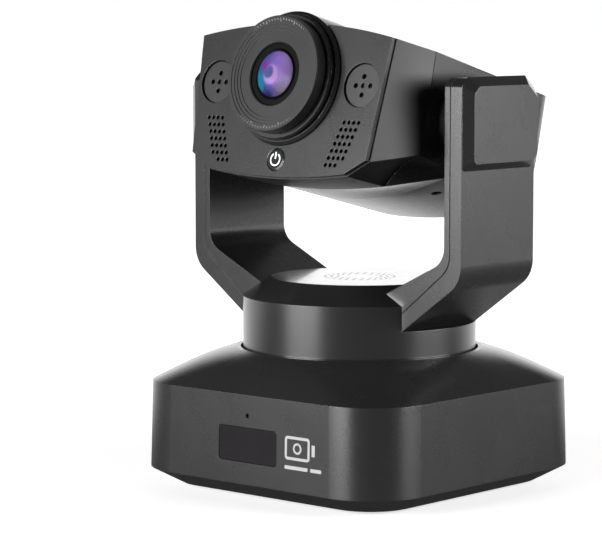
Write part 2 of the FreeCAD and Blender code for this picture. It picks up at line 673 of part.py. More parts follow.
def head_outline(v, half_top, half_low, low_s, half_floor, floor_s, top_s=23.0, inset=0.0, rise=5.3, sag=2.5,
                 scoop=0.05):
    """A section of the head: bowed top and floor, leaning sides and clipped lower corners."""
    top = (half_top - inset, top_s - inset)
    low = (half_low - inset, low_s + inset * 0.5)
    floor = (half_floor - inset * 0.6, floor_s + inset)
    spot = on_xz(v)
    edges = [Part.Arc(spot(-top[0], top[1]), spot(0, top[1] + rise), spot(*top)).toShape(),
             Part.makeLine(spot(*top), spot(*low)),
             bowed(spot, low, floor, scoop),
             Part.Arc(spot(*floor), spot(0, floor[1] - sag), spot(-floor[0], floor[1])).toShape(),
             bowed(spot, (-floor[0], floor[1]), (-low[0], low[1]), scoop),
             Part.makeLine(spot(-low[0], low[1]), spot(-top[0], top[1]))]
    return Part.Wire(edges)


def plate_section(v, inset=0.0):
    return head_outline(v, 49.6, 45.7, -24.7, 35.8, -30.5, inset=inset)


def front_sections(inset=0.0, first=-43.5):
    return [head_outline(first, 50.1, 46.2, -24.9, 36.1, -31.0, inset=inset),
            head_outline(-32.0, 51.0, 49.4, -21.2, 36.1, -30.9, inset=inset, scoop=0.8),
            head_outline(SEAM_V, 52.0, 52.0, -17.6, 36.0, -30.7, inset=inset, scoop=2.0)]


def lens_axis_rod(radius, v0, v1):
    """A rod on the lens axis, from v0 back to v1."""
    return rod(radius, (0, v0, LENS_S), v1 - v0, Y)


def speaker_holes():
    """Slanted grid of holes on the right, six rows of four and a last row of three."""
    holes = []
    for row in range(7):
        for column in range(4 if row < 6 else 3):
            u = 32.1 - 1.02 * row + 2.43 * column
            holes.append(rod(0.82, (u, PLATE_V - 1, -10.4 - 2.8 * row), PLATE_T + 2, Y))
    return holes


def face_plate():
    plate = Part.Face(plate_section(PLATE_V)).extrude(Y * PLATE_T)
    side_holes = speaker_holes() + [rod(MIC_R + 0.3, (MIC_U, PLATE_V - 1, MIC_S), PLATE_T + 2, Y)]
    holes = [h for s in side_holes for h in (s, mirror_x(s))]
    holes.append(lens_axis_rod(COLLAR_R + 0.15, PLATE_V - 1, 0))
    holes.append(rod(BUTTON_R + 0.45, (0, PLATE_V - 1, BUTTON_S), PLATE_T + 2, Y))
    return cut(plate, holes)


def front_shell():
    outer = Part.makeLoft(front_sections(), True, False)
    lip = Part.Face(plate_section(-44.0, 3.4)).extrude(Y * 3)
    inner = Part.makeLoft(front_sections(HEAD_WALL, -41.5), True, False)
    button_way = rod(BUTTON_R + 0.5, (0, PLATE_V, BUTTON_S), 6, Y)
    return cut(outer, [lip, inner, button_way, lens_axis_rod(COLLAR_R + 0.15, -50, COLLAR_BACK_V + 0.1)])


def rear_body(inset=0.0):
    """Solid of the rear shell: a straight run behind the seam, rounded off at the back."""
    first = head_outline(SEAM_V + 0.3, 52.0, 52.0, -17.9, 37.0, -30.6, inset=inset, scoop=2.0)
    neck = head_outline(-2.0, 52.0, 51.8, -19.4, 49.6, -23.2, top_s=22.5, inset=inset, sag=10.5)
    last = head_outline(66.0, 51.4, 51.0, -19.8, 48.8, -23.4, top_s=21.2, inset=inset, sag=10.1)
    body = fuse([straight_loft(first, neck), straight_loft(neck, last)])
    back = REAR_V - inset
    plan = prism([(-52.6 + inset, -30), (52.6 - inset, -30), (51.5 - inset, back, 12.0 - inset),
                  (inset - 51.5, back, 12.0 - inset)], on_xy(-60), Z * 120)
    side = prism([(-30, inset - 34.6), (back - REAR_LEAN, inset - 34.4, 14.0), (back, 15.0),
                  (back - 2.0, 19.5, 3.0), (back - 14.0, 26.5 - inset), (-30, 50)], on_yz(-70), X * 140)
    return body.common(plan).common(side)


def rear_shell():
    outer = rear_body()
    inner = rear_body(HEAD_WALL)
    bosses = [rod(14.0, (51.0, 0, 0), 6.0, X), mirror_x(rod(14.0, (51.0, 0, 0), 6.0, X))]
    seats = [rod(3.6, (u, v, -30), 6.0).common(outer) for u, v in HEAD_SCREWS]
    shell = fuse([outer.cut(inner)] + [b.cut(inner) for b in bosses] + seats)
    bush_hole = rod(10.0, (-70, 0, 0), 140, X)
    vents = [prism([(-22, s - 0.8, 0.75), (22, s - 0.8, 0.75), (22, s + 0.8, 0.75), (-22, s + 0.8, 0.75)],
                   on_xz(REAR_V - 8), Y * 12) for s in (-5.0, -1.0, 3.0, 7.0, 11.0)]
    wells = [rod(2.2, (u, v, -40), 40 + SCREW_SEAT_S) for u, v in HEAD_SCREWS]
    wells += [rod(1.15, (u, v, -40), 20) for u, v in HEAD_SCREWS]
    return cut(shell, [bush_hole] + vents + wells)


SCREW_SEAT_S = -25.2
HEAD_SCREWS = [(u, v) for u in (-38.0, 38.0) for v in (9.0, 31.0)]


def head_screws():
    return group([screw(2.0, 1.0, 5.5, (u, v, SCREW_SEAT_S), Z * -1) for u, v in HEAD_SCREWS])


def head_chassis():
    """Floor frame inside the head: carries the tilt motor's cheek and takes the head's screws."""
    floor = box(-42, 42, 6, 44, -21.0, -19.0)
    posts = [rod(2.9, (u, v, -23.9), 4.9) for u, v in HEAD_SCREWS]
    cheek = box(38.4, 40.0, 10, 40, -20, 16)
    whole = fuse([floor, cheek] + posts)
    holes = [rod(1.05, (u, v, -25), 10) for u, v in HEAD_SCREWS]
    motor_way = rod(3.0, (30, TILT_CENTRES, 0), 15, X)
    ears = [rod(1.3, (36, TILT_CENTRES, s), 6, X) for s in (-12.5, 12.5)]
    return cut(whole, holes + [motor_way] + ears)


TILT_CENTRES = (TILT_TEETH + TILT_PINION_TEETH) * TILT_MODULE / 2
TILT_GEAR_X = 42.6
TILT_GEAR_W = 3.6


def tilt_motor():
    can = rod(10.0, (24.0, TILT_CENTRES, 0), 13.4, X)
    ears = prism([(TILT_CENTRES - 3, -15.5, 2.9), (TILT_CENTRES + 3, -15.5, 2.9),
                  (TILT_CENTRES + 3, 15.5, 2.9),
                  (TILT_CENTRES - 3, 15.5, 2.9)], on_yz(37.4), X * 1.0)
    holes = [rod(1.3, (36, TILT_CENTRES, s), 4, X) for s in (-12.5, 12.5)]
    return cut(fuse([can, ears]), holes + [rod(1.6, (30, TILT_CENTRES, 0), 10, X)])


def tilt_motor_screws():
    return group([screw(2.1, 1.1, 3.6, (40.0, TILT_CENTRES, s), X) for s in (-12.5, 12.5)])


def tilt_motor_shaft():
    return rod(1.5, (31.0, TILT_CENTRES, 0), TILT_GEAR_X + TILT_GEAR_W - 31.0, X)


def along_x(shape, x, y):
    """Turns a gear drawn about Z so that it lies about X, its drawn +X pointing to the back."""
    placed = shape.copy()
    placed.rotate(ORIGIN, Z, -90)
    placed.rotate(ORIGIN, Y, 90)
    placed.rotate(ORIGIN, X, 90)
    placed.translate(Vector(x, y, 0))
    return placed


def tilt_pinion():
    shape = gear(TILT_PINION_TEETH, TILT_MODULE, TILT_GEAR_W, 1.5, math.pi + math.pi / TILT_PINION_TEETH)
    return along_x(shape, TILT_GEAR_X, TILT_CENTRES)


def tilt_gear():
    """Fixed gear on the right trunnion. The head's pinion walks round it."""
    shape = gear(TILT_TEETH, TILT_MODULE, TILT_GEAR_W - 0.8, TRUNNION_R, 0.0)
    return along_x(shape, TILT_GEAR_X + 0.4, 0.0)


def head_bush():
    return tube(10.0, TRUNNION_R + RUN_CLEAR, (49.0, 0, 0), 8.2, X)


def lens_collar():
    """Round turret that the lens sits in. It stands above the head's top."""
    back = COLLAR_BACK_V
    profile = [(23.6, -46.2), (23.9, -47.6), (25.6, -47.6), (COLLAR_R, -46.6), (COLLAR_R, back - 0.8),
               (COLLAR_R - 0.8, back), (3.0, back), (3.0, back - 1.7), (23.6, back - 1.7)]
    return turned(profile, Vector(0, 0, LENS_S))


def lens_barrel():
    """Barrel with one raised ring between the collar and the front ring."""
    profile = [(12.2, -52.0), (20.8, -52.0), (20.8, -50.8), (22.2, -50.8), (22.2, -50.2), (24.6, -50.2),
               (25.2, -49.6),
               (25.2, -48.5), (24.8, -48.1), (23.4, -48.1), (23.4, -31.0), (12.2, -31.0)]
    return turned(profile, Vector(0, 0, LENS_S))


def lens_front_ring():
    """Front ring: a skirt, and a face that steps back towards the opening."""
    profile = [(23.1, -51.0), (23.1, -55.3), (22.8, -55.6)]
    for i in range(4):
        profile += [(21.45 - 1.35 * i, -55.6 + 0.3 * i), (21.45 - 1.35 * i, -55.3 + 0.3 * i)]
    profile += [(12.9, -54.4), (12.4, -53.9), (12.4, -52.2), (21.0, -52.2), (21.0, -51.0)]
    return turned(profile, Vector(0, 0, LENS_S))


def lens_retainer():
    """Black retaining ring round the front glass."""
    profile = [(12.2, -53.5), (12.2, -50.5), (9.75, -50.5), (9.75, -53.5), (9.2, -54.0), (9.6, -54.2),
               (10.2, -53.5)]
    return turned(profile, Vector(0, 0, LENS_S))


def bowed_disc(radius, edge_v, middle_v, back_v):
    """A glass element: a flat back and a spherical front through the edge and the middle."""
    sag = edge_v - middle_v
    ball_r = (radius * radius + sag * sag) / (2 * sag)
    ball = Part.makeSphere(ball_r, Vector(0, middle_v + ball_r, LENS_S))
    return lens_axis_rod(radius, middle_v - 1, back_v).common(ball)


def front_glass():
    return bowed_disc(9.65, -53.4, -55.2, -52.6)


def lens_tube():
    body = lens_axis_rod(12.1, -50.4, -31.2)
    bores = [lens_axis_rod(8.6, -51, -43), lens_axis_rod(6.6, -44, -36), lens_axis_rod(5.0, -37, -29)]
    return cut(body, bores)


def inner_glass():
    return group([bowed_disc(8.5, -50.2, -52.2, -45.0), bowed_disc(6.5, -40.4, -41.6, -37.6)])


def sensor_board():
    v = COLLAR_BACK_V + 0.1
    board = prism([(-15, LENS_S - 15, 2), (15, LENS_S - 15, 2), (15, LENS_S + 15, 2), (-15, LENS_S + 15, 2)],
                  on_xz(v), Y * 1.4)
    return fuse([board, box(-5, 5, v + 1.4, v + 3.4, LENS_S - 13, LENS_S - 7)])


def image_sensor():
    return box(-2.1, 2.1, COLLAR_BACK_V - 1.8, COLLAR_BACK_V + 0.1, LENS_S - 2.0, LENS_S + 2.0)


def mic_cap():
    disc = rod(MIC_R, (MIC_U, PLATE_V + MIC_SUNK, MIC_S), PLATE_T - MIC_SUNK, Y)
    spots = [(0, 0), (3.6, 0), (-3.6, 0), (0, 3.6), (0, -3.6)]
    return cut(disc, [rod(1.0, (MIC_U + a, PLATE_V - 1, MIC_S + b), 5, Y) for a, b in spots])


def microphone():
    front = PLATE_V + PLATE_T
    board = box(MIC_U - 6, MIC_U + 6, front + 2.6, front + 3.8, MIC_S - 6, MIC_S + 6)
    return fuse([rod(3.0, (MIC_U, front, MIC_S), 2.6, Y), board])


def speaker():
    front = PLATE_V + PLATE_T + 0.2
    frame = rod(7.7, (33.6, front, -18.6), 2.0, Y)
    frame = frame.cut(rod(6.6, (33.6, front - 1, -18.6), 2.2, Y))
    return fuse([frame, rod(4.8, (33.6, front + 2.0, -18.6), 3.5, Y)])


def power_button():
    """Cap, hidden flange that keeps it in the plate, and the stem that presses the switch."""
    cap = rod(BUTTON_R, (0, PLATE_V - 0.25, BUTTON_S), PLATE_T + 0.35, Y)
    rim = [e for e in cap.Edges if e.BoundBox.YMax < PLATE_V - 0.2]
    cap = cap.makeFillet(0.3, rim)
    flange = box(-5.4, 5.4, PLATE_V + PLATE_T + 0.1, PLATE_V + PLATE_T + 1.0, BUTTON_S - 1.4, BUTTON_S + 1.4)
    stem = rod(1.4, (0, PLATE_V + PLATE_T + 1.0, BUTTON_S), 1.2, Y)
    return fuse([cap, flange, stem])


def button_switch():
    front = PLATE_V + PLATE_T + 2.2 + BUTTON_TRAVEL + 0.1
    body = box(-3, 3, front, front + 3.2, BUTTON_S - 1.6, BUTTON_S + 3)
    return fuse([body, box(-9, 9, front + 3.2, front + 4.4, BUTTON_S - 1.6, BUTTON_S + 4.6)])


# ---- every node ---------------------------------------------------------------------------
LEVEL_PIECES = [base_housing, base_tray, rubber_feet, tripod_insert, ir_window, status_light_pipe, main_board,
                board_screws, ir_receiver, port_panel, dc_jack, usb_port, pan_chassis, tray_screws, pan_bush,
                pan_motor, pan_motor_screws, pan_motor_shaft, pan_pinion, pan_gear, pan_spindle, spindle_clip,
                turntable_floor, floor_screws, turntable_drum, turntable_top, yoke_frame, arm_screws]
HEAD_PIECES = [face_plate, front_shell, rear_shell, head_screws, head_chassis, tilt_motor, tilt_motor_screws,
               tilt_motor_shaft, tilt_pinion, tilt_gear, lens_collar, lens_barrel, lens_front_ring,
               lens_retainer, front_glass, lens_tube, inner_glass, sensor_board, image_sensor, power_button,
               button_switch]
HEAD_PAIRS = {"head_bushes": head_bush, "mic_caps": mic_cap, "microphones": microphone, "speakers": speaker}


def nodes():
    made = {build.__name__: build() for build in LEVEL_PIECES}
    made.update({build.__name__: tilted(build()) for build in HEAD_PIECES})
    made.update({name: tilted(both_sides(build())) for name, build in HEAD_PAIRS.items()})
    for name, shape in (("arm_shell", arm_shell()), ("arm_cover", arm_cover())):
        made[f"right_{name}"] = shape
        made[f"left_{name}"] = mirror_x(shape)
    made["arm_pads"] = both_sides(arm_pad())
    made["right_trunnion"] = trunnion(41.6)
    made["left_trunnion"] = mirror_x(trunnion(46.0))
    return made


def main():
    os.makedirs("parts", exist_ok=True)
    for name, shape in nodes().items():
        shape.exportStep(f"parts/{name}.step")
        size = shape.BoundBox
        print(f"{name:22s} solids {len(shape.Solids)} valid {shape.isValid()} volume {shape.Volume:10.1f} "
              f"x {size.XMin:7.2f} {size.XMax:7.2f} y {size.YMin:7.2f} {size.YMax:7.2f} "
              f"z {size.ZMin:7.2f} {size.ZMax:7.2f}")


main()
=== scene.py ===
# %% [markdown]
# # A desktop pan-tilt camera, dressed for its portrait
#
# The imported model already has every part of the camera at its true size: a square base, a drum that
# turns on it, two cranked arms and the head between them. This notebook keeps those parts as they are
# and gives them what a drawing lacks: moulded grain, soft edges, coated glass, printed marks and light.
#
# Everything is in metres. +Z is up and the lens faces -Y.

# %% Load the model and note its box
import math

import bpy
from mathutils import Euler, Matrix, Vector


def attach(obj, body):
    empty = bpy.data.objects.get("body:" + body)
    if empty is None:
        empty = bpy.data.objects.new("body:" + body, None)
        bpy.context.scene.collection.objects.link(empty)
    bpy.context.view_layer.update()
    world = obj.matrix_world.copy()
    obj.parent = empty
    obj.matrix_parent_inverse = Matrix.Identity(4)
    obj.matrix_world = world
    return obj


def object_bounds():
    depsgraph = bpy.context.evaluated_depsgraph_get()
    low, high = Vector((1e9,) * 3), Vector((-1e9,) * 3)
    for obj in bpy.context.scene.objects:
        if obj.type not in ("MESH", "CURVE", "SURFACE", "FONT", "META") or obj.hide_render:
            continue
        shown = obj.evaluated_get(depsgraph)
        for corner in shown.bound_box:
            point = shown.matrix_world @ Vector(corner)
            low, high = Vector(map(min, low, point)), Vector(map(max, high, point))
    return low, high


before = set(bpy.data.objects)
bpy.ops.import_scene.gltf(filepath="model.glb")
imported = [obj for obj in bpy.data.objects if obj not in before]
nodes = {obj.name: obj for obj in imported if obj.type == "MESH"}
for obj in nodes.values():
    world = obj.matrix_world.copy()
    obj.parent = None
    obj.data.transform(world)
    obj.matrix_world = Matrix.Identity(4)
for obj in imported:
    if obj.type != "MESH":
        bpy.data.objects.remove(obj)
cad_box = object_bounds()
scene = bpy.context.scene

# %% [markdown]
# ## The camera
#
# A long lens from about a metre away, a little above the middle of the object and 40 degrees round to
# the right. Its direction is worked out from three plain facts: how far round it stands, how much it is
# turned away from the axis, and how much it looks down.

# %% Place the camera
ROUND = math.radians(40.52)
TURNED = math.radians(1.29)
LOOKS_DOWN = math.radians(5.87)
DISTANCE = 1.05753
HEIGHT = 0.19349
LENS_MM = 156.15

heading = ROUND + TURNED
level = math.cos(LOOKS_DOWN)
forward = Vector((-math.sin(heading) * level, math.cos(heading) * level, -math.sin(LOOKS_DOWN)))
rightward = Vector((math.cos(heading), math.sin(heading), 0))
upward = rightward.cross(forward)
camera_data = bpy.data.cameras.new("portrait_camera")
camera_data.lens = LENS_MM
camera_data.sensor_width = 36
camera_data.clip_end = 30
camera = bpy.data.objects.new("portrait_camera", camera_data)
camera.location = (DISTANCE * math.sin(ROUND), -DISTANCE * math.cos(ROUND), HEIGHT)
camera.rotation_euler = Matrix((rightward, upward, -forward)).transposed().to_euler()
scene.collection.objects.link(camera)
scene.camera = camera
print("camera at", [round(v, 4) for v in camera.location])

# %% [markdown]
# ## Shader sums
#
# A material is a graph of nodes. Most of them are arithmetic, so one small class wraps a node's output
# and lets the arithmetic be written as ordinary Python: `1 - mask` adds a Subtract node. Every other
# node comes from `Finish.node`, which takes its type, its settings and what goes into its sockets.

# %% A value that can be added, scaled and compared
class Shade:
    """One output of a node. Sums on it add Math nodes."""

    def __init__(self, finish, socket):
        self.finish = finish
        self.socket = socket

    def math(self, operation, *terms):
        return self.finish.node("ShaderNodeMath", {"operation": operation}, dict(enumerate(terms)))

    def __add__(self, other):
        return self.math("ADD", self, other)

    def __radd__(self, other):
        return self.math("ADD", other, self)

    def __sub__(self, other):
        return self.math("SUBTRACT", self, other)

    def __rsub__(self, other):
        return self.math("SUBTRACT", other, self)

    def __mul__(self, other):
        return self.math("MULTIPLY", self, other)

    def __rmul__(self, other):
        return self.math("MULTIPLY", other, self)

    def __truediv__(self, other):
        return self.math("DIVIDE", self, other)

    def __pow__(self, other):
        return self.math("POWER", self, other)

    def __gt__(self, other):
        return self.math("GREATER_THAN", self, other)

    def __lt__(self, other):
        return self.math("LESS_THAN", self, other)

    def __abs__(self):
        return self.math("ABSOLUTE", self)

    def between(self, low, high):
        return (self > low) * (self < high)


# %% A graph of nodes, and a material under construction
class Graph:
    """Adds nodes to a node tree."""

    def __init__(self, tree):
        self.tree = tree

    def node(self, kind, settings=None, inputs=None, output=0):
        made = self.tree.nodes.new(kind)
        for key, value in (settings or {}).items():
            if key == "stops":
                ramp = made.color_ramp
                while len(ramp.elements) < len(value):
                    ramp.elements.new(1.0)
                for element, (place, colour) in zip(ramp.elements, value):
                    element.position = place
                    element.color = colour
            else:
                setattr(made, key, value)
        for key, value in (inputs or {}).items():
            if isinstance(value, Shade):
                self.tree.links.new(value.socket, made.inputs[key])
            else:
                made.inputs[key].default_value = value
        return Shade(self, made.outputs[output])

    def axes(self, place):
        parts = self.node("ShaderNodeSeparateXYZ", {}, {"Vector": place}).socket.node.outputs
        return [Shade(self, part) for part in parts]

    def blend(self, mask, low, high):
        """A colour that goes from low to high with the mask."""
        return self.node("ShaderNodeMix", {"data_type": "RGBA"}, {0: mask, 6: low, 7: high}, output=2)

    def fade(self, value, start, end):
        """0 before start, 1 past end, and a soft S in between."""
        return self.node("ShaderNodeMapRange", {"interpolation_type": "SMOOTHSTEP"},
                         {"Value": value, "From Min": start, "From Max": end})

    def ramp(self, value, stops):
        return self.node("ShaderNodeValToRGB", {"stops": stops}, {0: value})


class Finish(Graph):
    """A Principled material. Constants go straight onto its sockets, named with _ for each space."""

    def __init__(self, name, **constants):
        self.material = bpy.data.materials.new(name)
        self.material.use_nodes = True
        super().__init__(self.material.node_tree)
        self.shader = self.tree.nodes["Principled BSDF"]
        for words, value in constants.items():
            self.shader.inputs[words.replace("_", " ")].default_value = value

    def set(self, socket, value):
        self.tree.links.new(value.socket, self.shader.inputs[socket])

    def place(self):
        return self.node("ShaderNodeTexCoord", output="Object")

    def seen_from(self, location, turn):
        """Object coordinates measured from another origin, along turned axes."""
        return self.node("ShaderNodeMapping", {"vector_type": "TEXTURE"},
                         {"Vector": self.place(), "Location": location, "Rotation": turn})

    def noise(self, scale, detail=2.0, place=None, stretch=None):
        place = place or self.place()
        if stretch:
            place = self.node("ShaderNodeMapping", {}, {"Vector": place, "Scale": stretch})
        return self.node("ShaderNodeTexNoise", {}, {"Vector": place, "Scale": scale, "Detail": detail})

    def soft_edge(self, radius):
        return self.node("ShaderNodeBevel", {"samples": 6}, {"Radius": radius})

    def edge_mask(self, radius, gain=6.0):
        """Bright on sharp edges, falling to 0 on flat surfaces."""
        flat = self.node("ShaderNodeNewGeometry", output="Normal")
        dot = self.node("ShaderNodeVectorMath", {"operation": "DOT_PRODUCT"},
                        {0: self.soft_edge(radius), 1: flat}, output="Value")
        return (1 - dot) * gain

    def bump(self, height, depth, edge=None):
        """Raises the surface by up to depth, in metres, on top of the rounded edges."""
        inputs = {"Height": height, "Distance": depth, "Strength": 1.0}
        if edge:
            inputs["Normal"] = edge
        self.set("Normal", self.node("ShaderNodeBump", {}, inputs))


def rgb(level, tint=(1.0, 1.0, 1.0)):
    """A grey of this level, or the same level of a tint."""
    return tuple(level * t for t in tint) + (1.0,)


def dress(finish, *names):
    """Gives a finish to CAD nodes."""
    for name in names:
        slots = nodes[name].material_slots
        for slot in slots:
            slot.material = finish.material
        if not slots:
            nodes[name].data.materials.append(finish.material)
    print(finish.material.name, "on", ", ".join(names))


# %% [markdown]
# ## Moulded plastic
#
# The shells are injection moulded from dark grey plastic with a satin skin. Up close such a skin is not
# smooth: it has a spark-eroded grain a few tenths of a millimetre across, faint cloudiness where the
# plastic flowed, and edges that are rounded by a fraction of a millimetre and a little polished by hands.
# The lighter colour on those edges is partly that wear and partly a painted edge highlight. The Bevel node
# rounds the edges in the shading, so each part shows its border as a real moulding does.

# %% Moulded plastic in several greys
COOL = (1.0, 1.0, 1.02)
GRAIN = 2400.0


def moulded(name, level, roughness, edge=0.00035, grain=0.0000016, sheen=0.35, shine=0.5):
    """Grey plastic. Edge is the radius of its edges and grain the depth of its skin, in metres."""
    finish = Finish(name, IOR=1.5, Specular_IOR_Level=shine,
                    Coat_Weight=sheen, Coat_Roughness=roughness * 0.75, Coat_IOR=1.42)
    cloud = finish.noise(38.0, 3.0)
    skin = finish.noise(GRAIN, 2.0)
    # Edges are lighter in the base colour: partly wear, partly a painted edge highlight.
    wear_and_edge_highlight = finish.edge_mask(edge)
    body = finish.blend(cloud, rgb(level * 0.9, COOL), rgb(level * 1.1, COOL))
    finish.set("Base Color", finish.blend(wear_and_edge_highlight, body, rgb(level * 2.1, COOL)))
    finish.set("Roughness", roughness - 0.04 + cloud * 0.07 + skin * 0.02)
    finish.bump(skin, grain, finish.soft_edge(edge))
    return finish


shell_grey = moulded("shell_grey", 0.017, 0.27)
drum_grey = moulded("drum_grey", 0.017, 0.24, grain=0.000003)
inner_grey = moulded("inner_grey", 0.012, 0.5, grain=0.00002, sheen=0.0)
tray_grey = moulded("tray_grey", 0.006, 0.42, grain=0.00001, sheen=0.05)
# The front shell gets a rougher, less shiny copy of the shell plastic, darkened as painted shade for its
# cheeks, which sit in the shadow of the arms.
shaded_head_grey = moulded("shaded_head_grey", 0.011, 0.4, sheen=0.05, shine=0.34)
dress(shell_grey, "base_housing", "right_arm_shell", "left_arm_shell", "right_arm_cover", "left_arm_cover",
      "arm_pads", "face_plate", "rear_shell")
dress(shaded_head_grey, "front_shell")
dress(drum_grey, "turntable_drum")
dress(inner_grey, "head_chassis", "pan_chassis", "turntable_floor", "speakers", "port_panel")
dress(tray_grey, "base_tray")

# %% [markdown]
# ## The polished cap on the drum
#
# The drum's flat top is smoother than its sides, so at this low angle it mirrors the pale room behind.

# %% Polished top disc
cap_finish = Finish("cap_gloss", IOR=1.5, Coat_Weight=0.4, Coat_Roughness=0.06)
cap_cloud = cap_finish.noise(60.0)
cap_finish.set("Base Color", cap_finish.blend(cap_cloud, rgb(0.03), rgb(0.04)))
cap_finish.set("Roughness", 0.14 + cap_cloud * 0.06)
cap_finish.bump(cap_finish.noise(GRAIN), 0.000002, cap_finish.soft_edge(0.0002))
dress(cap_finish, "turntable_top")

# %% [markdown]
# ## The lens: turned metal, black paint and coated glass
#
# The head is tilted, so the lens's patterns need coordinates that are tilted with it. A Mapping node set
# to "texture" does this: it measures each point from the lens's own centre, along the lens's own axes.
# In them Y runs along the lens, and the distance from that axis gives rings.

# %% Coordinates on the lens axis
REST_TILT = math.radians(13.5)
TILT_AXIS = Vector((0, 0, 0.149))
LENS_RISE = 0.0062
head_turn = Euler((-REST_TILT, 0, 0))
lens_middle = TILT_AXIS + head_turn.to_matrix() @ Vector((0, 0, LENS_RISE))


def lens_rings(finish):
    """(across, up, distance from the lens axis), in metres."""
    across, _, rise = finish.axes(finish.seen_from(lens_middle, head_turn))
    return across, rise, (across * across + rise * rise) ** 0.5


# %% Turned black metal
def turned_metal(name, level, roughness, pitch, depth):
    """Black metal off a lathe, with tool marks at this pitch and depth, in metres."""
    finish = Finish(name, IOR=1.5, Coat_Weight=0.3, Coat_Roughness=0.2)
    _, _, radius = lens_rings(finish)
    cloud = finish.noise(80.0)
    wave = radius * (2 * math.pi / pitch)
    lines = wave.math("SINE", wave)
    # Edges are lighter in the base colour: partly wear, partly a painted edge highlight.
    finish.set("Base Color", finish.blend(finish.edge_mask(0.0003), rgb(level, COOL), rgb(level * 2.4, COOL)))
    finish.set("Roughness", roughness + cloud * 0.08)
    finish.bump(lines * 0.5 + finish.noise(GRAIN) * 0.5, depth, finish.soft_edge(0.00025))
    return finish


barrel_black = turned_metal("barrel_black", 0.01, 0.24, 0.0004, 0.000004)
tube_black = turned_metal("tube_black", 0.006, 0.6, 0.0005, 0.00006)
dress(barrel_black, "lens_barrel", "lens_collar")
dress(tube_black, "lens_tube")

# %% [markdown]
# The front ring carries a scale in place of any wording: short strokes in two arcs, above and below the
# opening. An angle about the lens axis, cut into equal steps, places the strokes. Every fifth one is longer.

# %% Front ring with its printed scale
STROKE_STEP = math.radians(4.0)
STROKE_HALF_WIDTH = 0.11
STROKES_END = math.radians(36)
STROKE_OUTER = 0.0219
SHORT_STROKE_INNER = 0.0212
LONG_STROKE_INNER = 0.0206


def beside_half(value, margin):
    """1 where a value is within a margin of a whole number and a half."""
    return abs(value - value.math("FLOOR", value) - 0.5) < margin


ring_finish = Finish("front_ring", IOR=1.45, Specular_IOR_Level=0.35, Coat_Weight=0.1, Coat_Roughness=0.25)
across, rise, radius = lens_rings(ring_finish)
turn = across.math("ARCTAN2", across, abs(rise))
count = turn / STROKE_STEP + 0.5
long_stroke = beside_half(count / 5.0 + 0.4, 0.1)
short_span = radius.between(SHORT_STROKE_INNER, STROKE_OUTER)
long_span = radius.between(LONG_STROKE_INNER, STROKE_OUTER) * long_stroke
stroke = short_span.math("MAXIMUM", short_span, long_span)
printed = beside_half(count, STROKE_HALF_WIDTH) * stroke * (abs(turn) < STROKES_END)
ring_cloud = ring_finish.noise(60.0)
ring_body = ring_finish.blend(ring_cloud, rgb(0.018, COOL), rgb(0.024, COOL))
# Edges are lighter in the base colour: partly wear, partly a painted edge highlight.
ring_wear_and_edge_highlight = ring_finish.blend(ring_finish.edge_mask(0.0003), ring_body, rgb(0.06, COOL))
ring_finish.set("Base Color", ring_finish.blend(printed, ring_wear_and_edge_highlight, rgb(0.3)))
ring_finish.set("Roughness", 0.34 + ring_cloud * 0.08)
ring_finish.bump(ring_finish.noise(GRAIN), 0.000008, ring_finish.soft_edge(0.00025))
dress(ring_finish, "lens_front_ring")

# %% Retaining ring
retainer_finish = Finish("retainer_black", Specular_IOR_Level=0.06, Coat_Weight=0.02, Coat_Roughness=0.3)
retainer_cloud = retainer_finish.noise(60.0)
retainer_finish.set("Base Color", retainer_finish.blend(retainer_cloud, rgb(0.001), rgb(0.003)))
retainer_finish.set("Roughness", 0.4 + retainer_cloud * 0.1)
retainer_finish.bump(retainer_finish.noise(GRAIN), 0.000001, retainer_finish.soft_edge(0.0002))
dress(retainer_finish, "lens_retainer")

# %% [markdown]
# Camera glass is coated against reflections, and what little it does reflect is violet, magenta and
# blue. That reflection is painted: its colours glow faintly on the outer face of the front element, as soft
# patches placed in millimetres from its middle: lavender above, cyan and blue low on one side, a magenta
# spot, and a dull pupil in a pale ring. The element behind it repeats the painted reflection much more
# darkly, for depth.


# %% Painted reflection colours
GLASS_EDGE = (0.0086, 0.0096)
OUTER_FACE_Y = -0.0531
DIM_GREY = (0.09, 0.065, 0.1, 1)
NAVY = (0.02, 0.03, 0.15, 1)
CYAN = (0.02, 0.28, 0.46, 1)
MAGENTA = (0.34, 0.03, 0.4, 1)
PALE_VIOLET = (0.56, 0.33, 0.7, 1)
PUPIL_BLUE = (0.1, 0.11, 0.27, 1)
NO_LIGHT = (0, 0, 0, 1)


def painted_reflection_colours(finish):
    """Painted reflection colours over the lens opening, dark beyond its rim."""
    across, rise, radius = lens_rings(finish)

    def patch(right, up, inner, outer):
        """A soft disc: its middle and the radii where it starts and stops fading, in millimetres."""
        distance = ((across - right / 1000) ** 2 + (rise - up / 1000) ** 2) ** 0.5
        return 1 - finish.fade(distance, inner / 1000, outer / 1000)

    swirl = finish.noise(110.0, 2.0)
    tint = finish.ramp(across * 50.0 + 0.5 + swirl * 0.12 - 0.06, [
        (0.0, (0.03, 0.16, 0.4, 1)), (0.3, (0.13, 0.1, 0.42, 1)), (0.55, (0.24, 0.15, 0.44, 1)),
        (0.8, (0.22, 0.14, 0.32, 1)), (1.0, DIM_GREY)])
    tint = finish.blend(patch(-2.0, -9.0, 1.0, 6.0), tint, NAVY)
    tint = finish.blend(patch(4.5, -6.0, 1.0, 6.0), tint, DIM_GREY)
    tint = finish.blend(patch(-8.0, -3.4, 1.6, 5.6), tint, CYAN)
    tint = finish.blend(patch(-6.0, 3.6, 0.2, 2.6), tint, MAGENTA)
    tint = finish.blend(patch(-1.4, -0.4, 3.0, 4.6), tint, PALE_VIOLET)
    tint = finish.blend(patch(-2.5, 0.6, 1.9, 3.3), tint, PUPIL_BLUE)
    return finish.blend(finish.fade(radius, *GLASS_EDGE), tint, (0.001, 0.004, 0.008, 1))


